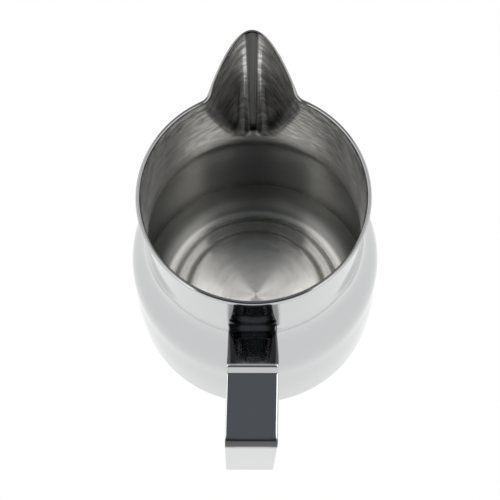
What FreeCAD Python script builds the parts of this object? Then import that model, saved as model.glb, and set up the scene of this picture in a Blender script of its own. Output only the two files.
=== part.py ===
import FreeCAD, Part
import Sketcher
import math
import os

vec = FreeCAD.Vector
doc = FreeCAD.newDocument("cream_jug")

# Driving dimensions in millimetres.
# Heights are above the table. Radii and reaches are from the upright axis of the bowl.
sizes = {
    "total_height": 103.0,
    "rim_radius": 38.0,
    "wall": 0.8,
    "lip_width": 1.5,
    "lip_depth": 1.6,
    "neck_radius": 37.1,
    "neck_foot_radius": 38.1,
    "neck_foot_height": 68.0,
    "shoulder_radius": 43.5,
    "shoulder_height": 55.5,
    "belly_radius": 46.4,
    "base_corner_radius": 10.2,
    "foot_ring_width": 2.0,
    "floor_disc_radius": 26.2,
    "floor_disc_height": 3.0,
    "floor_step_width": 3.8,
    "floor_ring_height": 1.8,
    "foot_ring_slope": 2.0,
    "spout_reach": 58.5,
    "spout_rise": 4.4,
    "spout_half_width": 15.4,
    "spout_depth": 32.0,
    "spout_throat_inset": 1.5,
    "spout_nose_length": 44.1,
    "strap_width": 16.0,
    "strap_thickness": 2.2,
    "strap_edge_radius": 0.7,
    "strap_reach": 80.0,
    "strap_bend_radius": 4.0,
    "strap_root_height": 81.5,
    "strap_root_length": 2.4,
    "ridge_reach": 56.2,
    "ridge_height": 100.3,
    "ridge_foot_reach": 58.3,
    "ridge_foot_height": 98.1,
    "ridge_round": 0.9,
    "arm_end_height": 95.1,
    "lower_arm_height": 50.6,
    "upper_tab_end_height": 69.5,
    "lower_tab_end_height": 38.5,
    "lower_tab_reach": 47.9,
    "weld_radius": 2.4,
    "weld_depth": 0.6,
    "weld_spacing": 7.0,
    "weld_start": 1.5,
    "upper_weld_height": 74.0,
    "lower_weld_height": 44.5,
    "lower_weld_inset": 1.1,
}
sheet = doc.addObject("Spreadsheet::Sheet", "dims")
for row, (name, value) in enumerate(sizes.items(), start=1):
    sheet.set("A%d" % row, name)
    sheet.set("B%d" % row, str(value))
    sheet.setAlias("B%d" % row, name)
doc.recompute()


def size(name):
    return float(sheet.get(name))


# The bowl's axis stands this far along +Y, so that the origin is under the middle of the whole jug.
axis_shift = (size("strap_reach") - size("spout_reach")) / 2
on_axis = FreeCAD.Placement(vec(0, axis_shift, 0), FreeCAD.Rotation())


# ---------- body shell: one pressed sheet with its lip and spout ----------

def wall_curve(inset):
    """Points of the belly and neck, from the base corner up to the lip, moved in by inset."""
    corner_top = size("base_corner_radius")
    shoulder = size("shoulder_height")
    belly = size("belly_radius") - inset
    outline = [
        (belly, corner_top),
        (belly - 0.25, corner_top + 0.4 * (shoulder - corner_top)),
        (belly - 0.95, corner_top + 0.72 * (shoulder - corner_top)),
        (size("shoulder_radius") - inset, shoulder),
        (size("neck_foot_radius") + 1.3 - inset, size("neck_foot_height") - 4.5),
        (size("neck_foot_radius") - 0.1 - inset, size("neck_foot_height") + 2.0),
        (0.5 * (size("neck_radius") + size("neck_foot_radius")) - 0.25 - inset, 84.0),
        (size("neck_radius") - inset, size("total_height") - 2 * size("lip_depth")),
    ]
    return [vec(radius, 0, height) for radius, height in outline]


def round_solid(inset, top):
    """The bowl as a turned solid: the outside with no inset, the hollow with the wall as inset."""
    wall = size("wall")
    lift = inset - wall
    corner = size("base_corner_radius") - inset
    corner_centre = size("belly_radius") - size("base_corner_radius")
    disc = size("floor_disc_radius") - (wall - inset) * 0.5
    disc_height = size("floor_disc_height") + lift
    ring = size("floor_ring_height") + lift
    ring_in = disc + size("floor_step_width")
    foot_in = corner_centre - size("foot_ring_width")
    curve = wall_curve(inset)
    if inset == 0:
        lip = [
            vec(size("rim_radius"), 0, size("total_height") - size("lip_depth")),
            vec(size("rim_radius"), 0, top),
        ]
    else:
        lip = [
            vec(size("rim_radius") - size("lip_width"), 0, size("total_height") - size("lip_depth")),
            vec(size("rim_radius") - size("lip_width"), 0, top),
        ]
    belly = Part.BSplineCurve()
    belly.interpolate(curve, InitialTangent=vec(0, 0, 1), FinalTangent=vec(0, 0, 1))
    quarter = vec(corner_centre + corner * math.sqrt(0.5), 0,
                  size("base_corner_radius") - corner * math.sqrt(0.5))
    edges = [
        Part.makePolygon([
            vec(0, 0, top),
            vec(0, 0, disc_height),
            vec(disc, 0, disc_height),
            vec(ring_in, 0, ring),
            vec(foot_in - size("foot_ring_slope"), 0, ring),
            vec(foot_in, 0, inset),
            vec(corner_centre, 0, inset),
        ]),
        Part.Arc(vec(corner_centre, 0, inset), quarter, curve[0]).toShape(),
        belly.toShape(),
        Part.makePolygon([curve[-1]] + lip + [vec(0, 0, top)]),
    ]
    wire = Part.Wire([edge for piece in edges for edge in piece.Edges])
    return Part.Face(wire).revolve(vec(0, 0, 0), vec(0, 0, 1), 360)


def spout_section(drop, inset):
    """Level section of the beak, drop below the rim (negative above it)."""
    share = (drop + size("spout_rise")) / (size("spout_depth") + size("spout_rise"))
    throat = size("neck_radius") - size("spout_throat_inset")
    reach = throat + (size("spout_reach") - throat) * (1.0 - share) - inset
    half = size("spout_half_width") * (1.0 - 0.6 * max(share, 0.0) ** 1.5) - inset
    base = math.sqrt(size("neck_radius") ** 2 - half ** 2)
    ogive = size("spout_nose_length")
    length = max(reach - base, 1.0)
    spread = half / math.sqrt(length / (length + ogive))
    back = 0.6 * size("rim_radius")
    level = size("total_height") - drop
    side = []
    for part in (0.03, 0.12, 0.3, 0.6, 1.0):
        along = part * (reach - back)
        side.append(vec(spread * math.sqrt(along / (along + ogive)), reach - along, level))
    mirrored = [vec(-point.x, point.y, point.z) for point in side]
    beak = Part.BSplineCurve()
    beak.interpolate(mirrored[::-1] + [vec(0, reach, level)] + side)
    return Part.Wire([beak.toShape(), Part.makeLine(side[-1], mirrored[-1])])


def spout_solid(inset):
    drops = [size("spout_depth") * part for part in (-0.2, 0.0, 0.25, 0.5, 0.75, 0.98)]
    return Part.makeLoft([spout_section(drop, inset) for drop in drops], True, False)


def above_rim():
    """Everything over the lip: level round the bowl and rising towards the spout's tip."""
    rim = size("total_height")
    start = size("rim_radius") * 0.9
    tip = size("spout_reach")
    rise = Part.BSplineCurve()
    rise.interpolate([
        vec(0, start, rim),
        vec(0, start + 0.5 * (tip - start), rim + 0.36 * size("spout_rise")),
        vec(0, tip, rim + size("spout_rise")),
    ], InitialTangent=vec(0, 1, 0), FinalTangent=vec(0, 1, 0.25))
    outline = [
        Part.makeLine(vec(0, -60, rim), vec(0, start, rim)),
        rise.toShape(),
        Part.makePolygon([
            vec(0, tip, rim + size("spout_rise")),
            vec(0, tip + 5, rim + size("spout_rise") + 1.2),
            vec(0, tip + 5, rim + 30),
            vec(0, -60, rim + 30),
            vec(0, -60, rim),
        ]),
    ]
    wire = Part.Wire([edge for piece in outline for edge in piece.Edges])
    block = Part.Face(wire).extrude(vec(120, 0, 0))
    block.translate(vec(-60, 0, 0))
    return block


outside = round_solid(0.0, size("total_height")).fuse(spout_solid(0.0)).removeSplitter()
hollow = round_solid(size("wall"), size("total_height") + 2).fuse(spout_solid(size("wall") * 1.2))
shell = outside.cut(hollow).cut(above_rim())
body_shell = doc.addObject("Part::Feature", "body_shell")
body_shell.Label = "body_shell"
body_shell.Shape = shell.Solids[0]
body_shell.Placement = on_axis

# The closed outside of the jug, against which the strap's ends are fitted.
envelope = doc.addObject("Part::Feature", "jug_outside")
envelope.Shape = outside


# ---------- handle strap: one bent bar, drawn from the side and padded to its width ----------

def plane(body, role):
    return [item for item in body.Origin.OriginFeatures if item.Role == role][0]


def offset_corner(before, corner, after, distance):
    """The corner moved in by distance from both of the straight runs that meet in it."""
    lines = []
    for start, end in ((before, corner), (corner, after)):
        run = vec(end[0] - start[0], end[1] - start[1], 0).normalize()
        lines.append((vec(start[0] + run.y * distance, start[1] - run.x * distance, 0), run))
    (first, along), (second, across) = lines
    gap = second - first
    share = (gap.x * across.y - gap.y * across.x) / (along.x * across.y - along.y * across.x)
    return (first.x + along.x * share, first.y + along.y * share)


def strap_outline():
    """Corners of the strap in side view: out along its upper and outer face, back along the inner."""
    thick = size("strap_thickness")
    inside_neck = 1.2 - size("neck_radius")
    inside_belly = 3.4 - size("belly_radius")
    root = -size("neck_radius") - size("strap_root_length")
    run = [
        (inside_neck, size("strap_root_height")),
        (root, size("strap_root_height")),
        (-size("ridge_reach"), size("ridge_height")),
        (-size("ridge_foot_reach"), size("ridge_foot_height")),
        (-size("strap_reach"), size("arm_end_height")),
        (-size("strap_reach"), size("lower_arm_height")),
        (-size("lower_tab_reach"), size("lower_arm_height")),
        (-size("lower_tab_reach"), size("lower_tab_end_height")),
        (inside_belly, size("lower_tab_end_height")),
    ]
    inner = [offset_corner(run[i - 1], run[i], run[i + 1], -thick) for i in range(2, 6)]
    tab_face = -size("neck_foot_radius") - thick
    panel = offset_corner(run[0], run[1], run[2], -thick)
    slope = (inner[0][1] - panel[1]) / (inner[0][0] - panel[0])
    tab_top = panel[1] + slope * (tab_face - panel[0])
    back = [
        (inside_belly, size("lower_arm_height") + thick),
        inner[3],
        inner[2],
        inner[1],
        inner[0],
        (tab_face, tab_top),
        (tab_face, size("upper_tab_end_height")),
        (inside_neck, size("upper_tab_end_height")),
    ]
    return run + back


# Sketch corners that a single dimension places: corner number, axis, expression, sign.
strap_bindings = [
    (1, "Y", "dims.strap_root_height", 1),
    (2, "X", "dims.ridge_reach", -1),
    (2, "Y", "dims.ridge_height", 1),
    (3, "X", "dims.ridge_foot_reach", -1),
    (3, "Y", "dims.ridge_foot_height", 1),
    (4, "X", "dims.strap_reach", -1),
    (4, "Y", "dims.arm_end_height", 1),
    (5, "X", "dims.strap_reach", -1),
    (5, "Y", "dims.lower_arm_height", 1),
    (6, "X", "dims.lower_tab_reach", -1),
    (7, "Y", "dims.lower_tab_end_height", 1),
    (10, "X", "dims.strap_reach - dims.strap_thickness", -1),
    (10, "Y", "dims.lower_arm_height + dims.strap_thickness", 1),
    (15, "Y", "dims.upper_tab_end_height", 1),
]

strap_blank = doc.addObject("PartDesign::Body", "strap_blank")
side_view = strap_blank.newObject("Sketcher::SketchObject", "strap_side")
side_view.AttachmentSupport = [(plane(strap_blank, "YZ_Plane"), "")]
side_view.MapMode = "FlatFace"
corners = strap_outline()
for index, corner in enumerate(corners):
    following = corners[(index + 1) % len(corners)]
    start, end = vec(corner[0], corner[1], 0), vec(following[0], following[1], 0)
    side_view.addGeometry(Part.LineSegment(start, end))
for index in range(len(corners)):
    side_view.addConstraint(Sketcher.Constraint("Coincident", index, 2, (index + 1) % len(corners), 1))
bound = {(index, axis): (formula, sign) for index, axis, formula, sign in strap_bindings}
for index, corner in enumerate(corners):
    for axis, value in (("X", corner[0]), ("Y", corner[1])):
        name = "corner%d%s" % (index, axis)
        side_view.addConstraint(Sketcher.Constraint("Distance" + axis, -1, 1, index, 1, value))
        number = side_view.ConstraintCount - 1
        side_view.renameConstraint(number, name)
        if (index, axis) in bound:
            formula, sign = bound[(index, axis)]
            side_view.setExpression("Constraints." + name, formula if sign > 0 else "-(%s)" % formula)
doc.recompute()

strap_pad = strap_blank.newObject("PartDesign::Pad", "strap_pad")
strap_pad.Profile = side_view
strap_pad.Midplane = True
strap_pad.setExpression("Length", "dims.strap_width")
doc.recompute()


def bend_edges(shape, places):
    """Names of the edges across the strap that stand at the given corners."""
    names = []
    for number, edge in enumerate(shape.Edges, start=1):
        ends = [vertex.Point for vertex in edge.Vertexes]
        if len(ends) != 2 or abs(ends[0].x - ends[1].x) < 1:
            continue
        for place in places:
            if math.hypot(ends[0].y - place[0], ends[0].z - place[1]) < 0.01:
                names.append("Edge%d" % number)
    return names


def round_bends(feature, label, places, formula):
    fillet = strap_blank.newObject("PartDesign::Fillet", label)
    fillet.Base = (feature, bend_edges(feature.Shape, places))
    fillet.setExpression("Radius", formula)
    doc.recompute()
    return fillet


outer_bends = round_bends(strap_pad, "outer_bends", [corners[4], corners[5]], "dims.strap_bend_radius")
inner_bends = round_bends(outer_bends, "inner_bends", [corners[10], corners[11]],
                          "dims.strap_bend_radius - dims.strap_thickness")
ridge_bends = round_bends(inner_bends, "ridge_bends", [corners[2], corners[3]], "dims.ridge_round")
root_bends = round_bends(ridge_bends, "root_bends", [corners[1], corners[6], corners[14]],
                         "dims.ridge_round")
long_edges = []
for number, edge in enumerate(root_bends.Shape.Edges, start=1):
    reaches = [round(vertex.Point.x, 3) for vertex in edge.Vertexes]
    on_side = min(abs(reach) for reach in reaches) > 0.499 * size("strap_width")
    if on_side and len(set(reaches)) == 1:
        long_edges.append("Edge%d" % number)
soft_edges = strap_blank.newObject("PartDesign::Fillet", "soft_edges")
soft_edges.Base = (root_bends, long_edges)
soft_edges.setExpression("Radius", "dims.strap_edge_radius")
doc.recompute()
strap_blank.Tip = soft_edges
doc.recompute()

strap_end_cut = doc.addObject("Part::Cut", "strap_end_cut")
strap_end_cut.Base = strap_blank
strap_end_cut.Tool = envelope
doc.recompute()


# ---------- spot welds: nuggets that hold the strap's two tabs to the shell ----------

def nugget_pair(label, start_formula, height_formula):
    """Two round pins side by side, running outwards from inside the shell's wall into the tab."""
    pins = []
    for side, sign in (("left", "-1"), ("right", "1")):
        pin = doc.addObject("Part::Cylinder", label + "_" + side)
        pin.Placement = FreeCAD.Placement(vec(0, 0, 0), FreeCAD.Rotation(vec(1, 0, 0), 90))
        pin.setExpression("Radius", "dims.weld_radius")
        pin.setExpression("Height", "dims.weld_start + dims.weld_depth")
        pin.setExpression("Placement.Base.x", sign + " * dims.weld_spacing / 2")
        pin.setExpression("Placement.Base.y", start_formula)
        pin.setExpression("Placement.Base.z", height_formula)
        pins.append(pin)
    pair = doc.addObject("Part::MultiFuse", label + "_pins")
    pair.Shapes = pins
    return pair


upper_pins = nugget_pair("upper", "dims.weld_start - (dims.neck_radius + dims.neck_foot_radius) / 2",
                         "dims.upper_weld_height")
lower_pins = nugget_pair("lower", "dims.weld_start - dims.belly_radius + dims.lower_weld_inset",
                         "dims.lower_weld_height")
doc.recompute()

strap_upper_cut = doc.addObject("Part::Cut", "strap_upper_cut")
strap_upper_cut.Base = strap_end_cut
strap_upper_cut.Tool = upper_pins
handle_strap = doc.addObject("Part::Cut", "handle_strap")
handle_strap.Label = "handle_strap"
handle_strap.Base = strap_upper_cut
handle_strap.Tool = lower_pins
welds = []
for name, pins in (("upper_weld", upper_pins), ("lower_weld", lower_pins)):
    weld = doc.addObject("Part::Cut", name)
    weld.Label = name
    weld.Base = pins
    weld.Tool = envelope
    welds.append(weld)
doc.recompute()
for item in [handle_strap] + welds:
    item.Placement = on_axis
doc.recompute()


# ---------- check every object, then write each piece ----------

for item in doc.Objects:
    if "Invalid" in item.State or "Error" in item.State:
        raise RuntimeError(item.Name + " did not build")

pieces = [body_shell, handle_strap] + welds
for item in pieces:
    if item.Shape.isNull() or not item.Shape.isValid():
        raise RuntimeError(item.Label + " has no valid shape")

os.makedirs("parts", exist_ok=True)
for item in pieces:
    item.Shape.exportStep("parts/%s.step" % item.Label)
    box = item.Shape.optimalBoundingBox()
    print(item.Label, "solids", len(item.Shape.Solids), "mm3", round(item.Shape.Volume, 1),
          "y", round(box.YMin, 2), round(box.YMax, 2), "z", round(box.ZMin, 2), round(box.ZMax, 2))
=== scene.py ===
import math
import bpy
import numpy as np
from mathutils import Matrix, Vector


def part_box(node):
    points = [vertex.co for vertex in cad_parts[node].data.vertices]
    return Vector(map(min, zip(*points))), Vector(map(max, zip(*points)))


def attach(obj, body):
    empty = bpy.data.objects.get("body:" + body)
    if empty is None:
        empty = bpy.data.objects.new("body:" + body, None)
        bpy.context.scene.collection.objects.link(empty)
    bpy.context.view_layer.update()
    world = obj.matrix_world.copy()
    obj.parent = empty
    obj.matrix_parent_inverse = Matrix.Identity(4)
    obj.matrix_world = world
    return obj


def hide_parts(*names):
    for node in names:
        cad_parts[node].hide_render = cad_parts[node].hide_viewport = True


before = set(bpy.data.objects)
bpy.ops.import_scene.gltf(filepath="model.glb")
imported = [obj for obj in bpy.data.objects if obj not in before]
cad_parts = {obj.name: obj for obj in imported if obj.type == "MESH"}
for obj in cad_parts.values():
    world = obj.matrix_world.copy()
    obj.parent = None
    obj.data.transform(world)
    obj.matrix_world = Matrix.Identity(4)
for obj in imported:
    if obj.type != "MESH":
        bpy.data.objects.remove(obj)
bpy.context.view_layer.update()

mm = 0.001

# where things stand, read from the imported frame
shellLow, shellHigh = [np.array(corner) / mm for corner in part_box("body_shell")]
strapLow, strapHigh = [np.array(corner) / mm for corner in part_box("handle_strap")]
bellyRadius = (shellHigh[0] - shellLow[0]) / 2
axisY = shellLow[1] + bellyRadius         # upright axis of the bowl
spoutReach = shellHigh[1] - axisY         # axis to spout tip
topOfTip = shellHigh[2]
strapReach = axisY - strapLow[1]          # axis to the outer leg of the handle
strapWidth = strapHigh[0] - strapLow[0]
print("frame read: belly radius %.1f mm, axis at y %.2f mm" % (bellyRadius, axisY))


def smoothCurve(xs, ys, startSlope=None, endSlope=None):
    # cubic curve through a few points, returned as a function
    xs = np.array(xs, float)
    ys = np.array(ys, float)
    gaps = np.diff(xs)
    count = len(xs)
    system = np.zeros((count, count))
    wanted = np.zeros(count)
    for i in range(1, count - 1):
        system[i, i - 1] = gaps[i]
        system[i, i] = 2 * (gaps[i - 1] + gaps[i])
        system[i, i + 1] = gaps[i - 1]
        wanted[i] = 3 * (gaps[i] * (ys[i] - ys[i - 1]) / gaps[i - 1]
                         + gaps[i - 1] * (ys[i + 1] - ys[i]) / gaps[i])
    system[0, 0] = 1
    wanted[0] = startSlope if startSlope is not None else (ys[1] - ys[0]) / gaps[0]
    system[-1, -1] = 1
    wanted[-1] = endSlope if endSlope is not None else (ys[-1] - ys[-2]) / gaps[-1]
    slopes = np.linalg.solve(system, wanted)

    def at(x):
        x = np.clip(x, xs[0], xs[-1])
        i = np.clip(np.searchsorted(xs, x) - 1, 0, count - 2)
        t = (x - xs[i]) / gaps[i]
        return (ys[i] * (2 * t**3 - 3 * t**2 + 1) + ys[i + 1] * (3 * t**2 - 2 * t**3)
                + gaps[i] * (slopes[i] * (t**3 - 2 * t**2 + t) + slopes[i + 1] * (t**3 - t**2)))
    return at


def smoothStep(low, high, x):
    t = np.clip((x - low) / (high - low), 0, 1)
    return t * t * (3 - 2 * t)


# ---- camera ----
cameraSet = {
    "aim": 38.0,            # mm, the rim radius that the next two are counted in
    "back": 3.70,           # behind the axis, on the handle's side
    "above": 8.07,          # over the rim
    "pitch": 68.5,          # degrees below level
    "turn": 1.4,            # degrees round the axis
    "roll": -1.26,
    "lens": 75.6,
    "shift": -0.0096,
}
rimHeight = 103.0


def placeCamera(c):
    turn, pitch, roll = [math.radians(c[k]) for k in ("turn", "pitch", "roll")]
    right = Vector((math.cos(turn), math.sin(turn), 0))
    ahead = Vector((-math.sin(turn) * math.cos(pitch), math.cos(turn) * math.cos(pitch), -math.sin(pitch)))
    up = Vector((-math.sin(turn) * math.sin(pitch), math.cos(turn) * math.sin(pitch), math.cos(pitch)))
    rolledRight = right * math.cos(roll) + up * math.sin(roll)
    rolledUp = up * math.cos(roll) - right * math.sin(roll)
    place = Vector((c["back"] * c["aim"] * math.sin(turn) * mm,
                    (axisY - c["back"] * c["aim"] * math.cos(turn)) * mm,
                    (rimHeight + c["above"] * c["aim"]) * mm))
    data = bpy.data.cameras.new("camera")
    data.lens = c["lens"]
    data.sensor_width = 36
    data.shift_x = c["shift"]
    data.clip_start = 0.01
    camera = bpy.data.objects.new("camera", data)
    bpy.context.scene.collection.objects.link(camera)
    camera.matrix_world = Matrix((
        (rolledRight.x, rolledUp.x, -ahead.x, place.x),
        (rolledRight.y, rolledUp.y, -ahead.y, place.y),
        (rolledRight.z, rolledUp.z, -ahead.z, place.z),
        (0, 0, 0, 1)))
    bpy.context.scene.camera = camera


placeCamera(cameraSet)
print("camera placed")


# ---- small helpers ----
def newMaterial(name):
    material = bpy.data.materials.new(name)
    material.use_nodes = True
    tree = material.node_tree
    tree.nodes.clear()
    out = tree.nodes.new("ShaderNodeOutputMaterial")
    skin = tree.nodes.new("ShaderNodeBsdfPrincipled")
    tree.links.new(skin.outputs["BSDF"], out.inputs["Surface"])
    return material, tree, skin


def node(tree, kind, operation=None, **values):
    made = tree.nodes.new("ShaderNode" + kind)
    if operation:
        made.operation = operation
    for key, value in values.items():
        setattr(made, key, value)
    return made


def join(tree, *pairs):
    for source, target in pairs:
        tree.links.new(source, target)


def meshObject(name, points, faces, faceMaterials, materials):
    mesh = bpy.data.meshes.new(name)
    mesh.from_pydata([tuple(p * mm) for p in points], [], faces)
    for material in materials:
        mesh.materials.append(material)
    mesh.polygons.foreach_set("material_index", faceMaterials)
    mesh.polygons.foreach_set("use_smooth", [True] * len(mesh.polygons))
    mesh.update()
    made = bpy.data.objects.new(name, mesh)
    bpy.context.scene.collection.objects.link(made)
    return made


# ---- finishes ----
def axisParts(tree, spot):
    # a point's vector from the bowl's axis, and its three parts
    fromAxis = node(tree, "VectorMath", "SUBTRACT")
    fromAxis.inputs[1].default_value = (0, axisY * mm, 0)
    parts = node(tree, "SeparateXYZ")
    join(tree, (spot, fromAxis.inputs[0]), (fromAxis.outputs[0], parts.inputs[0]))
    return fromAxis.outputs[0], parts.outputs["X"], parts.outputs["Y"], parts.outputs["Z"]


def turnParts(tree, x, y):
    # radius from the axis, and angle from the spout
    flat = node(tree, "CombineXYZ")
    radius = node(tree, "VectorMath", "LENGTH")
    angle = node(tree, "Math", "ARCTAN2")
    join(tree, (x, flat.inputs["X"]), (y, flat.inputs["Y"]), (flat.outputs[0], radius.inputs[0]),
         (x, angle.inputs[0]), (y, angle.inputs[1]))
    return radius.outputs["Value"], angle.outputs[0]


def addUp(tree, first, second, firstTimes=1.0, secondTimes=1.0):
    a = node(tree, "Math", "MULTIPLY")
    a.inputs[1].default_value = firstTimes
    b = node(tree, "Math", "MULTIPLY_ADD")
    b.inputs[1].default_value = secondTimes
    join(tree, (first, a.inputs[0]), (second, b.inputs[0]), (a.outputs[0], b.inputs[2]))
    return b.outputs[0]


def ramp(tree, value, low, high, toLow=0.0, toHigh=1.0):
    made = node(tree, "MapRange", interpolation_type="SMOOTHSTEP")
    for name, number in (("From Min", low), ("From Max", high), ("To Min", toLow), ("To Max", toHigh)):
        made.inputs[name].default_value = number
    join(tree, (value, made.inputs["Value"]))
    return made.outputs["Result"]


def fadeOut(tree, value, low, high):
    return ramp(tree, value, low, high, 1.0, 0.0)


def times(tree, first, second):
    made = node(tree, "Math", "MULTIPLY")
    join(tree, (first, made.inputs[0]))
    if isinstance(second, (int, float)):
        made.inputs[1].default_value = second
    else:
        join(tree, (second, made.inputs[1]))
    return made.outputs[0]


def unsigned(tree, value):
    made = node(tree, "Math", "ABSOLUTE")
    join(tree, (value, made.inputs[0]))
    return made.outputs[0]


def mixValues(tree, share, low, high):
    made = node(tree, "Mix")
    for socket, value in zip((made.inputs[0], made.inputs[2], made.inputs[3]), (share, low, high)):
        if isinstance(value, (int, float)):
            socket.default_value = value
        else:
            join(tree, (value, socket))
    return made.outputs[0]


def mixColours(tree, share, low, high):
    made = node(tree, "Mix", data_type="RGBA")
    join(tree, (share, made.inputs[0]))
    for socket, value in zip((made.inputs[6], made.inputs[7]), (low, high)):
        if isinstance(value, tuple):
            socket.default_value = value
        else:
            join(tree, (value, socket))
    return made.outputs[2]


def lineNoise(tree, across, along, fineness, length, detail):
    # long thin marks: quick changes across them, slow changes along them
    place = node(tree, "CombineXYZ")
    marks = node(tree, "TexNoise")
    marks.inputs["Scale"].default_value = 1.0
    marks.inputs["Detail"].default_value = detail
    join(tree, (times(tree, across, fineness), place.inputs["X"]),
         (times(tree, along, length), place.inputs["Y"]), (place.outputs[0], marks.inputs["Vector"]))
    return marks.outputs["Fac"]


polishSet = {
    "colour": (0.57, 0.575, 0.58, 1),
    # the lip grey is painted shade: the inner half of the rounded lip is made darker than the outside steel
    "lip": (0.20, 0.20, 0.20, 1),
    # the next grey is the random cloudy tone and also the lighter end of the painted shade in the crook; the
    # one after is the darkest painted shade
    "mottleAndShade": (0.42, 0.42, 0.43, 1),
    "shadeDark": (0.12, 0.12, 0.125, 1),
    "roughness": 0.045,
    "haze": 0.05,             # how far the roughness wanders
    "cloudScale": 35,
    "cloudTint": 0.06,
    "scuff": 0.2,             # strength of the fine wiping marks
    "scuffDepth": 0.0000025,  # in metres, as are the places below
    "wipes": (2600, 60, 4),   # fineness across, along, and detail
}
crookShadeSet = {
    "halfWidth": (0.0076, 0.0090),    # painted shade in the crook between the neck and the handle's ridge
    "bottom": (0.0765, 0.0785),
    "back": (-0.0561, -0.0555),
    "front": (-0.0365, -0.0360),
    "top": (0.1005, 0.1020),
    "bendBack": (-0.0800, -0.0796),   # painted shade on the bend between the arm and the leg
    "bendFront": (-0.0782, -0.0772),
    "bendHeight": (0.0915, 0.0925),
    "darkSides": (0.0035, 0.0060),    # the painted shade is darker still this far from the middle
}


def paintedCrookShade(tree, x, y, z):
    # painted shade: the steel's colour is darkened in the crook, and where the arm bends down into the leg
    c = crookShadeSet
    inner, outer = c["halfWidth"]
    narrow = fadeOut(tree, times(tree, x, x), inner ** 2, outer ** 2)
    low = ramp(tree, z, *c["bottom"])
    back = ramp(tree, y, *c["back"])
    front = fadeOut(tree, y, *c["front"])
    top = fadeOut(tree, z, *c["top"])
    crookShade = times(tree, times(tree, times(tree, narrow, low), times(tree, back, front)), top)
    bend = times(tree, times(tree, ramp(tree, y, *c["bendBack"]), fadeOut(tree, y, *c["bendFront"])),
                 ramp(tree, z, *c["bendHeight"]))
    darkest = node(tree, "Math", "MAXIMUM")
    join(tree, (bend, darkest.inputs[0]), (ramp(tree, unsigned(tree, x), *c["darkSides"]), darkest.inputs[1]))
    tint = mixColours(tree, darkest.outputs[0], polishSet["mottleAndShade"], polishSet["shadeDark"])
    return addUp(tree, crookShade, bend), tint


def polishedSteel(name, colour, crookShade=False):
    material, tree, skin = newMaterial(name)
    s = polishSet
    skin.inputs["Metallic"].default_value = 1.0
    spot = node(tree, "TexCoord").outputs["Object"]
    cloud = node(tree, "TexNoise")
    cloud.inputs["Scale"].default_value = s["cloudScale"]
    cloud.inputs["Detail"].default_value = 5
    join(tree, (spot, cloud.inputs["Vector"]),
         (ramp(tree, cloud.outputs["Fac"], 0.3, 0.7, s["roughness"], s["roughness"] + s["haze"]),
          skin.inputs["Roughness"]))
    x, y, z = axisParts(tree, spot)[1:]
    bump = node(tree, "Bump")
    bump.inputs["Strength"].default_value = s["scuff"]
    bump.inputs["Distance"].default_value = s["scuffDepth"]
    join(tree, (lineNoise(tree, x, y, *s["wipes"]), bump.inputs["Height"]),
         (bump.outputs[0], skin.inputs["Normal"]))
    # in the crook the colour carries painted shade; elsewhere it has only a random cloudy tone
    if crookShade:
        share, tint = paintedCrookShade(tree, x, y, z)
    else:
        share, tint = ramp(tree, cloud.outputs["Fac"], 0.45, 0.8, 0.0, s["cloudTint"]), s["mottleAndShade"]
    join(tree, (mixColours(tree, share, colour, tint), skin.inputs["Base Color"]))
    return material


brushSet = {
    # the greys below are painted light and shade over one brushed steel: the corner and wall painted darker
    # than the floor, the neck painted lighter
    "floor": (0.76, 0.75, 0.725, 1),
    "corner": (0.68, 0.67, 0.65, 1),
    "wall": (0.45, 0.441, 0.423, 1),
    "neck": (0.88, 0.87, 0.85, 1),
    "beak": (0.46, 0.455, 0.44, 1),    # painted shade wherever the jug is wider than its neck
    "lobe": (0.23, 0.23, 0.22, 1),     # and darkest painted shade there lower down: the belly, and low in the pouring lip
    "stripEdgeHighlight": (0.95, 0.94, 0.92, 1),     # painted highlight lines along both edges of the strip
    "strip": (0.10, 0.10, 0.097, 1),   # painted shade down the middle of the pouring lip
    "roughness": 0.20,
    "roughSpread": 0.01,
    "neckHaze": 0.03,
    "cornerHaze": 0.14,                # the bottom corner is duller
    "anisotropy": 0.95,
    "turnedLines": 0.000008,           # height of the turned lines, in metres
    "handStrokes": 0.000050,           # height of the sloping strokes round the neck and in the pouring lip
    "turnedSlope": 1.3,
    "turned": (2600, 1.6, 4),          # fineness across, along, and detail
    "broad": (420, 1.1, 2),
    "strokeSlope": 0.22,
    "strokes": (1150, 7.0, 4),
    "lengthwise": (3000, 25, 3),
    "turnedContrast": (0.93, 1.06),
    "strokeContrast": (0.62, 1.38),
    "lengthwiseContrast": (0.7, 1.3),
    "stripLine": (0, 0.58, 0.81),      # the way the strip runs
}
brushPlaces = {
    "corner": (0.006, 0.014),          # heights, in metres
    "wall": (0.022, 0.046),
    "neck": (0.066, 0.080),
    "wide": (0.0372, 0.0392),          # radius
    "low": (0.083, 0.098),
    "hazeRadius": (0.034, 0.037),
    "hazeTop": (0.009, 0.014),
    "spoutFront": (0.0330, 0.0350),
    "spoutFoot": (0.0735, 0.0760),
    "taper": -0.036,                   # the strip narrows downwards
    "strip": (-0.0020, -0.0012),
    # where the painted highlight lines beside the strip lie
    "highlightInside": (-0.0018, -0.0012),
    "highlightOutside": (-0.0006, 0.0),
    "highlightTop": (0.098, 0.104),
}


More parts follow.
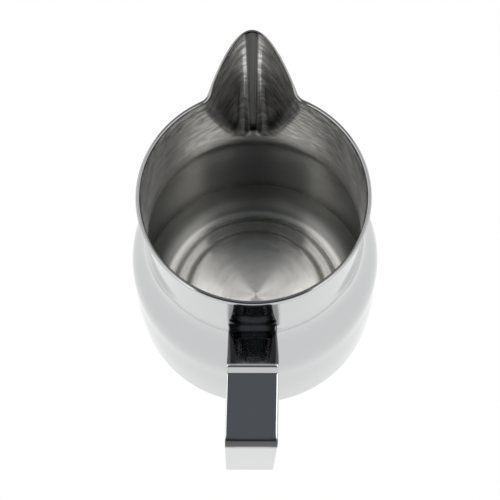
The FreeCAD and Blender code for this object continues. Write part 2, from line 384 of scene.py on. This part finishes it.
def brushedColour(tree, x, y, z, radius, neckShare):
    # one grey over another from the floor up, painted light and shade over one steel: darker corner, wall,
    # beak, lobes and strip, lighter neck and strip edges; also returns the share of the strip
    p = brushPlaces
    across = unsigned(tree, addUp(tree, x, y, 1.0, math.radians(shellSet["spoutTurn"])))
    edge = addUp(tree, across, z, 1.0, p["taper"])
    wide = ramp(tree, radius, *p["wide"])
    low = times(tree, wide, fadeOut(tree, z, *p["low"]))
    inSpout = times(tree, ramp(tree, y, *p["spoutFront"]), ramp(tree, z, *p["spoutFoot"]))
    # painted shade down the middle strip of the pouring lip
    strip = times(tree, fadeOut(tree, edge, *p["strip"]), inSpout)
    # painted highlight lines along both edges of the strip
    beside = times(tree, ramp(tree, edge, *p["highlightInside"]), fadeOut(tree, edge, *p["highlightOutside"]))
    stripEdgeHighlight = times(tree, beside, times(tree, inSpout, fadeOut(tree, z, *p["highlightTop"])))
    colour = brushSet["floor"]
    for share, name in ((ramp(tree, z, *p["corner"]), "corner"), (ramp(tree, z, *p["wall"]), "wall"),
                        (neckShare, "neck"), (wide, "beak"), (low, "lobe"), (stripEdgeHighlight, "stripEdgeHighlight"), (strip, "strip")):
        colour = mixColours(tree, share, colour, brushSet[name])
    return colour, across, strip


def brushedSteel(name):
    # fine turned lines round the bowl's axis, and sloping hand strokes above
    material, tree, skin = newMaterial(name)
    s, p = brushSet, brushPlaces
    skin.inputs["Metallic"].default_value = 1.0
    skin.inputs["Anisotropic"].default_value = s["anisotropy"]
    skin.inputs["Anisotropic Rotation"].default_value = 0.25
    spot = node(tree, "TexCoord").outputs["Object"]
    fromAxis, x, y, z = axisParts(tree, spot)
    radius, angle = turnParts(tree, x, y)
    neckShare = ramp(tree, z, *p["neck"])
    colour, across, strip = brushedColour(tree, x, y, z, radius, neckShare)
    lineUp = addUp(tree, radius, z, 1.0, s["turnedSlope"])
    turned = lineNoise(tree, lineUp, angle, *s["turned"])
    broad = lineNoise(tree, lineUp, angle, *s["broad"])
    strokes = lineNoise(tree, addUp(tree, z, across, 1.0, s["strokeSlope"]), angle, *s["strokes"])
    lengthwise = lineNoise(tree, x, z, *s["lengthwise"])
    bump = node(tree, "Bump")
    bump.inputs["Strength"].default_value = 1.0
    bump.inputs["Distance"].default_value = 1.0
    height = addUp(tree, turned, times(tree, strokes, neckShare), s["turnedLines"], s["handStrokes"])
    join(tree, (height, bump.inputs["Height"]), (bump.outputs[0], skin.inputs["Normal"]))
    rough = ramp(tree, broad, 0.3, 0.7, s["roughness"] - s["roughSpread"], s["roughness"] + s["roughSpread"])
    inCorner = times(tree, ramp(tree, radius, *p["hazeRadius"]), fadeOut(tree, z, *p["hazeTop"]))
    rough = addUp(tree, addUp(tree, rough, neckShare, 1.0, s["neckHaze"]), inCorner, 1.0, s["cornerHaze"])
    join(tree, (rough, skin.inputs["Roughness"]))
    marks = mixValues(tree, neckShare, ramp(tree, turned, 0.3, 0.7, *s["turnedContrast"]),
                      ramp(tree, strokes, 0.36, 0.66, *s["strokeContrast"]))
    marks = mixValues(tree, strip, marks, ramp(tree, lengthwise, 0.35, 0.65, *s["lengthwiseContrast"]))
    shade = node(tree, "VectorMath", "SCALE")
    join(tree, (colour, shade.inputs[0]), (marks, shade.inputs["Scale"]),
         (shade.outputs[0], skin.inputs["Base Color"]))
    # the lines run round the axis, but lengthwise in the strip
    aroundAxis = node(tree, "VectorMath", "CROSS_PRODUCT")
    aroundAxis.inputs[0].default_value = (0, 0, 1)
    unit = node(tree, "VectorMath", "NORMALIZE")
    along = node(tree, "Mix", data_type="VECTOR")
    along.inputs[5].default_value = s["stripLine"]
    join(tree, (fromAxis, aroundAxis.inputs[1]), (aroundAxis.outputs[0], unit.inputs[0]),
         (strip, along.inputs[0]), (unit.outputs[0], along.inputs[4]),
         (along.outputs[1], skin.inputs["Tangent"]))
    return material


# ---- body shell ----
shellSet = {
    "wall": 0.8,
    "rimRadius": 38.0,
    "neckRadius": 37.1,
    "flare": (4.5, 0.8),          # the neck flares out to the rim between these depths below it
    "lipDepth": 1.6,
    "lipWidth": 1.5,
    "lipHeight": 0.75,
    "lipOutside": 1.1,            # radians round the lip that belong to the polished outside
    "cornerRadius": 10.2,
    "footRing": 2.0,
    "discRadius": 26.2,
    "discHeight": 3.0,
    "discStep": 3.8,
    "discEdge": 0.4,
    "ringHeight": 1.8,
    "ringSlope": 2.0,
    "ringRamp": (0.6, 3.4),       # the slope inside the bottom corner: its start and its length
    "profile": [(10.2, 46.4), (28.3, 46.15), (42.8, 45.45), (55.5, 43.5), (63.5, 39.4), (70.0, 38.0),
                (84.0, 37.35), (99.8, 37.1)],       # height, outside radius
    "spoutHalf": 16.5,
    "spoutTurn": 0.8,             # degrees, the spout sits a touch to the left
    "spoutDepth": 32.0,
    "spoutBlend": 1.6,
    "ogive": 6.0,                 # roundness of the beak seen from above, in rim radii
    "throatInset": 1.5,
    "narrowing": (0.6, 1.5),      # how much and how late the beak narrows downwards
    "widestTurn": 1.2,            # radians off the middle line; the beak never reaches this far round
    "liftStart": 0.9,             # the lip climbs from this share of the rim radius
    "liftPower": 1.5,
    "liftFrom": 80.0,             # the wall is stretched above this height
    "stripHalf": (1.9, 0.6),      # half width of the flat strip down the middle, at the lip and at its foot
    "keelFade": (0.9, 1.3),       # how quickly the strip falls away sideways
    "keelFold": (3.2, 1.2),       # how far it is drawn in at its foot, and how late
    "lobeSide": 4.7,              # the lobes' distance from the middle line, their size and their bulge
    "lobeSize": 3.8,
    "lobeBulge": 1.6,
    "lobeStart": (0.2, 0.7),      # shares of the spout's depth
    "lobeEnd": (0.9, 1.08),
    "deepest": 1.3,
    "beakLip": 0.95,              # lip width out on the beak
    "beakLipFrom": (0.5, 5.0),    # out beyond the rim
    "turns": 540,
    "crowding": 0.55,             # more steps in the spout than round the back
    "bands": [(52, 28), (72, 24), (98, 40)],      # top of each band of the wall, and its rows
    "rimRows": 12,
    "discRows": 1.5,              # the disc's rows start this far inside its edge
}
wallRadius = smoothCurve([p[0] for p in shellSet["profile"]], [p[1] for p in shellSet["profile"]], 0, 0)
tipRise = topOfTip - rimHeight
lipBase = rimHeight - shellSet["lipHeight"]


def rimLift(y):
    # how far the lip climbs towards the spout's tip, y counted from the axis
    start = shellSet["rimRadius"] * shellSet["liftStart"]
    t = np.clip((y - start) / (spoutReach - start), 0, 1)
    return tipRise * t ** shellSet["liftPower"]


def spoutRadius(angle, height):
    # reach of the beak from the axis, for an angle off its middle line and a height
    s = shellSet
    share = (lipBase - height + tipRise) / (s["spoutDepth"] + tipRise)
    throat = s["neckRadius"] - s["throatInset"]
    reach = throat + (spoutReach - throat) * (1 - share)
    amount, power = s["narrowing"]
    half = s["spoutHalf"] * (1 - amount * np.clip(share, 0, 1.2) ** power)
    base = np.sqrt(s["neckRadius"] ** 2 - half ** 2)
    ogive = s["ogive"] * s["rimRadius"]
    angle = angle + math.radians(s["spoutTurn"])
    length = np.maximum(reach - base, 1.0)
    spread = half / np.sqrt(length / (length + ogive))
    turn = np.minimum(np.abs(angle), s["widestTurn"])
    lean = np.tan(turn)
    low = np.zeros_like(lean * height)
    high = low + reach
    for _ in range(40):
        middle = (low + high) / 2
        wide = spread * np.sqrt(middle / (middle + ogive)) > lean * (reach - middle)
        high = np.where(wide, middle, high)
        low = np.where(wide, low, middle)
    beak = (reach - low) / np.cos(turn)
    # the middle line is drawn in again lower down, as a flat strip with a round lobe either side
    side = np.abs(beak * np.sin(angle))
    deep = np.clip(share, 0, s["deepest"])
    atLip, atFoot = s["stripHalf"]
    strip = atLip + (atFoot - atLip) * np.minimum(deep, 1)
    amount, power = s["keelFold"]
    fade, fadePower = s["keelFade"]
    fold = amount * deep ** power * np.exp(-(np.maximum(side - strip, 0) / fade) ** fadePower)
    lobe = s["lobeBulge"] * np.exp(-((side - s["lobeSide"]) / s["lobeSize"]) ** 2)
    lobe = lobe * smoothStep(*s["lobeStart"], deep) * (1 - smoothStep(*s["lobeEnd"], deep))
    return beak - fold + lobe


def outsideRadius(angle, height):
    plain = wallRadius(height) + 0 * angle
    low, high = shellSet["flare"]
    flare = shellSet["rimRadius"] - shellSet["neckRadius"]
    plain = plain + flare * smoothStep(rimHeight - low, rimHeight - high, height)
    beak = spoutRadius(angle, height)
    k = shellSet["spoutBlend"]
    near = np.maximum(k - np.abs(plain - beak), 0) / k
    return np.maximum(plain, beak) + near ** 2 * k / 4


def shellMesh():
    s = shellSet
    steps = -math.pi + 2 * math.pi * np.arange(s["turns"]) / s["turns"]
    angles = steps - s["crowding"] * np.sin(steps)
    corner = bellyRadius - s["cornerRadius"]
    heights = []
    start = s["cornerRadius"]
    for end, count in s["bands"] + [(lipBase, s["rimRows"])]:
        heights += list(np.linspace(start, end, count)[:-1])
        start = end
    heights = np.array(heights + [lipBase])
    turnGrid, heightGrid = np.meshgrid(angles, heights)
    # lift the top of the wall towards the spout's tip
    lifted = heightGrid
    stretch = smoothStep(s["liftFrom"], lipBase, heightGrid)
    for _ in range(8):
        lifted = heightGrid + rimLift(outsideRadius(turnGrid, lifted) * np.cos(turnGrid)) * stretch
    radius = outsideRadius(turnGrid, lifted)

    def place(r, a, z):
        return np.stack([r * np.sin(a), axisY + r * np.cos(a), z], -1)
    outer = place(radius, turnGrid, lifted)
    # outward normals from the grid itself
    along = np.gradient(outer, axis=0)
    ahead = np.concatenate([outer[:, -1:], outer, outer[:, :1]], 1)
    across = (ahead[:, 2:] - ahead[:, :-2]) / 2
    normal = np.cross(across, along)
    normal /= np.linalg.norm(normal, axis=2, keepdims=True)
    outwards = outer - place(0 * radius, turnGrid, lifted)
    normal *= np.sign((normal * outwards).sum(-1, keepdims=True))

    def ring(r, z):
        return place(np.full_like(angles, r), angles, np.full_like(angles, z))

    rows, kinds = [], []      # kinds: 0 polished, 1 brushed, 2 lip, for the faces that lead to each row

    def add(row, kind):
        rows.append(row)
        kinds.append(kind)
    # under the base, from the middle outwards
    edge = s["discEdge"]
    ringOut = s["discRadius"] + s["discStep"]
    footIn = corner - s["footRing"]
    under = s["wall"]
    for r in np.linspace(edge, s["discRadius"] - edge, 10):
        add(ring(r, s["discHeight"] - under), 0)
    for t in np.linspace(0, 1, 7):
        add(ring(s["discRadius"] - edge + t * s["discStep"],
                 s["discHeight"] - under - (s["discHeight"] - s["ringHeight"]) * smoothStep(0, 1, t)), 0)
    add(ring(footIn - s["ringSlope"], s["ringHeight"] - under), 0)
    for t in np.linspace(0.1, 1, 6):
        add(ring(footIn - s["ringSlope"] * (1 - t), (s["ringHeight"] - under) * (1 - smoothStep(0, 1, t))), 0)
    # up the outside
    for a in np.linspace(0, 0.5 * math.pi, 14)[:-1]:
        add(ring(corner + s["cornerRadius"] * math.sin(a), s["cornerRadius"] * (1 - math.cos(a))), 0)
    for row in outer:
        add(row, 0)
    # over the rounded lip
    top, topNormal = outer[-1], normal[-1]
    near, far = s["beakLipFrom"]
    onBeak = smoothStep(s["rimRadius"] + near, s["rimRadius"] + far, radius[-1])[:, None]
    lipWidth = s["lipWidth"] + (s["beakLip"] - s["lipWidth"]) * onBeak
    centre = top - topNormal * lipWidth / 2
    up = np.array([0, 0, 1.0])
    for a in np.linspace(0, math.pi, 13)[1:]:
        around = topNormal * (lipWidth / 2 * math.cos(a)) + up * (s["lipHeight"] * math.sin(a))
        add(centre + around, 0 if a < s["lipOutside"] else 2)
    # down the inside to the middle of the floor
    for k in range(len(heights) - 2, -1, -1):
        thinning = 1 - smoothStep(0, s["lipDepth"], lipBase - heights[k])
        add(outer[k] - normal[k] * (s["wall"] + (lipWidth - s["wall"]) * thinning), 1)
    innerCorner = s["cornerRadius"] - s["wall"]
    for a in np.linspace(0.5 * math.pi, 0, 16)[1:]:
        add(ring(corner + innerCorner * math.sin(a), s["cornerRadius"] - innerCorner * math.cos(a)), 1)
    start, length = s["ringRamp"]
    for t in np.linspace(0, 1, 8)[1:]:
        add(ring(corner - start - length * t,
                 s["wall"] + (s["ringHeight"] - s["wall"]) * smoothStep(0, 1, t)), 1)
    for t in np.linspace(0, 1, 9):
        add(ring(ringOut - t * s["discStep"],
                 s["ringHeight"] + (s["discHeight"] - s["ringHeight"]) * smoothStep(0, 1, t)), 1)
    for r in np.linspace(s["discRadius"] - s["discRows"], edge, 14):
        add(ring(r, s["discHeight"]), 1)

    points = np.concatenate(rows)
    points[:, 2] = np.minimum(points[:, 2], topOfTip)      # no part of the lip stands over the tip
    columns = len(angles)
    faces, faceKinds = [], []
    for i in range(len(rows) - 1):
        for j in range(columns):
            k = (j + 1) % columns
            faces.append((i * columns + j, i * columns + k, (i + 1) * columns + k, (i + 1) * columns + j))
            faceKinds.append(kinds[i + 1])
    # close the two centres with fans
    first = len(points)
    points = np.concatenate([points, [[0, axisY, s["discHeight"] - under]], [[0, axisY, s["discHeight"]]]])
    last = (len(rows) - 1) * columns
    for j in range(columns):
        k = (j + 1) % columns
        faces.append((first, k, j))
        faceKinds.append(0)
        faces.append((last + j, last + k, first + 1))
        faceKinds.append(1)
    return points, faces, faceKinds


outsideSteel = polishedSteel("polished steel", polishSet["colour"], crookShade=True)
insideSteel = brushedSteel("brushed steel")
# the inner half of the lip carries painted shade in its darker grey
lipShadedSteel = polishedSteel("lip steel", polishSet["lip"])
points, faces, faceKinds = shellMesh()
shell = meshObject("jug_shell", points, faces, faceKinds, [outsideSteel, insideSteel, lipShadedSteel])
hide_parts("body_shell")
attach(shell, "root")
print("shell made: %d faces" % len(faces))


# ---- handle strap ----
strapSet = {
    "thick": 2.2,
    "edges": (0.35, 0.75),     # rounding of the left and right long edges
    "lean": 1.1,               # the leg drifts this far to the left over the next length
    "leanLength": 45.0,
    "leanMost": 1.2,           # and at most this many times as far
    "armShift": 0.35,
    "rootSink": 0.3,           # how far the strap's end goes into the neck's wall
    "rootHeight": 81.5,
    "rootLength": 2.4,
    "ridge": (56.2, 100.3),
    "ridgeFoot": (58.3, 98.1),
    "armEnd": 95.1,
    "lowerArm": 50.6,
    "tabFace": 47.9,
    "tabEnd": 38.5,
    "bend": 4.0,
    "ridgeRound": 0.9,
    "rootRound": 0.9,
    "station": 1.5,            # longest step along the straight runs
}


def cornerOffset(before, corner, after, distance):
    runs = []
    for start, end in ((before, corner), (corner, after)):
        run = np.array(end) - np.array(start)
        run = run / np.linalg.norm(run)
        runs.append((np.array(start) + distance * np.array([run[1], -run[0]]), run))
    (p, u), (q, v) = runs
    gap = q - p
    share = (gap[0] * v[1] - gap[1] * v[0]) / (u[0] * v[1] - u[1] * v[0])
    return p + share * u


def roundedLine(corners, radii, steps):
    # polyline whose inner corners are arcs, each arc with the same number of steps
    line = [np.array(corners[0], float)]
    for i in range(1, len(corners) - 1):
        before, corner, after = [np.array(corners[i + d], float) for d in (-1, 0, 1)]
        back = (before - corner) / np.linalg.norm(before - corner)
        on = (after - corner) / np.linalg.norm(after - corner)
        half = math.acos(np.clip(back @ on, -1, 1)) / 2
        cut = radii[i] / math.tan(half)
        centre = corner + (back + on) / np.linalg.norm(back + on) * radii[i] / math.sin(half)
        start = corner + back * cut - centre
        end = corner + on * cut - centre
        a0 = math.atan2(start[1], start[0])
        turn = math.atan2(start[0] * end[1] - start[1] * end[0], start @ end)
        for k in range(steps + 1):
            a = a0 + turn * k / steps
            line.append(centre + radii[i] * np.array([math.cos(a), math.sin(a)]))
    line.append(np.array(corners[-1], float))
    return line


def strapMesh():
    s = strapSet
    neck = wallRadius(s["rootHeight"])
    root = -(neck + s["rootLength"])
    # upper and outer face in side view, from the neck round to the belly tab: (y from the axis, height)
    end = -neck + s["rootSink"]
    outer = [(end, s["rootHeight"]), (root, s["rootHeight"]), (-s["ridge"][0], s["ridge"][1]),
             (-s["ridgeFoot"][0], s["ridgeFoot"][1]), (-strapReach, s["armEnd"]),
             (-strapReach, s["lowerArm"]), (-s["tabFace"], s["lowerArm"]), (-s["tabFace"], s["tabEnd"])]
    t = s["thick"]
    inner = [(end, s["rootHeight"] - t)]
    for i in range(1, 7):
        inner.append(cornerOffset(outer[i - 1], outer[i], outer[i + 1], -t))
    inner.append((-s["tabFace"] + t, s["tabEnd"]))
    sharp = [0, s["rootRound"], s["ridgeRound"], s["ridgeRound"]]
    a = roundedLine(outer, sharp + [s["bend"], s["bend"], s["rootRound"], 0], 10)
    b = roundedLine(inner, sharp + [s["bend"] - t, s["bend"] - t, s["rootRound"], 0], 10)
    # put more stations along the straight runs
    top, low = [], []
    for i in range(len(a) - 1):
        far = max(np.linalg.norm(a[i + 1] - a[i]), np.linalg.norm(b[i + 1] - b[i]))
        pieces = max(1, int(far / s["station"]))
        for k in range(pieces):
            top.append(a[i] + (a[i + 1] - a[i]) * k / pieces)
            low.append(b[i] + (b[i + 1] - b[i]) * k / pieces)
    top.append(a[-1])
    low.append(b[-1])
    halfWidth = strapWidth / 2
    eL, eR = s["edges"]
    rows = []
    for p, q in zip(top, low):
        d = q - p
        thick = np.linalg.norm(d)
        d = d / thick
        loop = []
        # across the upper face, round the edge, back across the lower face
        xs = np.linspace(-halfWidth + eL, halfWidth - eR, 12)
        loop += [(x, 0) for x in xs]
        quarter = np.linspace(0, 0.5 * math.pi, 6)
        loop += [(halfWidth - eR + eR * math.sin(v), eR - eR * math.cos(v)) for v in quarter[1:]]
        loop += [(halfWidth - eR + eR * math.cos(v), thick - eR + eR * math.sin(v)) for v in quarter]
        loop += [(x, thick) for x in xs[::-1][1:]]
        loop += [(-halfWidth + eL - eL * math.sin(v), thick - eL + eL * math.cos(v)) for v in quarter[1:]]
        loop += [(-halfWidth + eL - eL * math.cos(v), eL - eL * math.sin(v)) for v in quarter[:-1]]
        lean = s["lean"] * np.clip((s["armEnd"] - p[1]) / s["leanLength"], 0, s["leanMost"])
        drift = -lean - s["armShift"] * smoothStep(s["ridge"][0], strapReach, -p[0])
        rows.append([np.array([x + drift, axisY + p[0] + d[0] * h, p[1] + d[1] * h]) for x, h in loop])
    columns = len(rows[0])
    points = np.concatenate(rows)
    faces = []
    for i in range(len(rows) - 1):
        for j in range(columns):
            k = (j + 1) % columns
            faces.append((i * columns + j, (i + 1) * columns + j, (i + 1) * columns + k, i * columns + k))
    faces.append(tuple(range(columns)))
    faces.append(tuple((len(rows) - 1) * columns + j for j in reversed(range(columns))))
    return points, faces


strapSteel = polishedSteel("polished strap steel", polishSet["colour"], crookShade=True)
points, faces = strapMesh()
strap = meshObject("handle", points, faces, [0] * len(faces), [strapSteel])
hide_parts("handle_strap")
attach(strap, "root")
print("strap made: %d faces" % len(faces))

for name in ("upper_weld", "lower_weld"):
    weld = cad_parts[name]
    for holder in weld.material_slots:
        holder.material = strapSteel

# ---- stage and light ----
stageSet = {
    "floorGlow": 1.0,
    "horizon": 0.95,
    "overhead": (0.13, 0.55),  # brightness overhead, towards the handle and towards the spout
    "overheadTurn": (0.03, 0.25),
    "coolColour": (0.93, 1.03, 1.12, 1),    # overhead on the handle's side
    "coolEnd": (0.12, 0.22),
    "fade": (0.34, 0.56),      # sine of elevation over which the bright surroundings fade
    "edge": 3.0,               # half the floor's width, in metres
    "below": 0.0002,
    "panels": [             # level panels overhead: outline in metres, height, how bright
        {"outline": [(-0.12, 0.38), (-1.3, 1.8), (-1.5, 1.8), (-1.5, -1.4), (-1.3, -1.4), (-0.41, -0.3)],
         "height": 1.1, "glow": 2.8},
        {"outline": [(0.12, 0.38), (1.3, 1.8), (1.5, 1.8), (1.5, -1.4), (1.3, -1.4), (0.38, -0.3)],
         "height": 1.1, "glow": 2.45},
    ],
}


def glowPanel(name, outline, height, glow):
    mesh = bpy.data.meshes.new(name)
    mesh.from_pydata([(x, y, height) for x, y in outline], [], [tuple(range(len(outline)))])
    panel = bpy.data.objects.new(name, mesh)
    bpy.context.scene.collection.objects.link(panel)
    material = bpy.data.materials.new(name)
    material.use_nodes = True
    tree = material.node_tree
    tree.nodes.clear()
    out = tree.nodes.new("ShaderNodeOutputMaterial")
    light = tree.nodes.new("ShaderNodeEmission")
    light.inputs["Strength"].default_value = glow
    tree.links.new(light.outputs[0], out.inputs["Surface"])
    mesh.materials.append(material)
    panel.visible_camera = False


def stage():
    size = stageSet["edge"]
    mesh = bpy.data.meshes.new("floor")
    mesh.from_pydata([(-size, -size, 0), (size, -size, 0), (size, size, 0), (-size, size, 0)], [],
                     [(0, 1, 2, 3)])
    floor = bpy.data.objects.new("floor", mesh)
    bpy.context.scene.collection.objects.link(floor)
    floor.location.z = -stageSet["below"]
    material, tree, skin = newMaterial("floor")
    skin.inputs["Base Color"].default_value = (0, 0, 0, 1)
    skin.inputs["Specular IOR Level"].default_value = 0
    skin.inputs["Roughness"].default_value = 0.9
    skin.inputs["Emission Color"].default_value = (1, 1, 1, 1)
    skin.inputs["Emission Strength"].default_value = stageSet["floorGlow"]
    mesh.materials.append(material)
    world = bpy.data.worlds.new("studio")
    bpy.context.scene.world = world
    world.use_nodes = True
    tree = world.node_tree
    tree.nodes.clear()
    out = tree.nodes.new("ShaderNodeOutputWorld")
    back = tree.nodes.new("ShaderNodeBackground")
    parts = node(tree, "SeparateXYZ")
    join(tree, (node(tree, "TexCoord").outputs["Generated"], parts.inputs[0]),
         (back.outputs[0], out.inputs[0]))
    faded = ramp(tree, parts.outputs["Z"], *stageSet["fade"])
    above = ramp(tree, parts.outputs["Y"], *stageSet["overheadTurn"], *stageSet["overhead"])
    coolShare = times(tree, faded, fadeOut(tree, parts.outputs["Y"], *stageSet["coolEnd"]))
    join(tree, (mixValues(tree, faded, stageSet["horizon"], above), back.inputs["Strength"]),
         (mixColours(tree, coolShare, (1.0, 1.0, 1.0, 1.0), stageSet["coolColour"]), back.inputs["Color"]))
    for i, panel in enumerate(stageSet["panels"]):
        glowPanel("panel %d" % (i + 1), **panel)


stage()
scene = bpy.context.scene
scene.view_settings.view_transform = "Standard"
scene.cycles.max_bounces = 16
scene.cycles.glossy_bounces = 16
scene.cycles.use_denoising = True
print("stage lit")
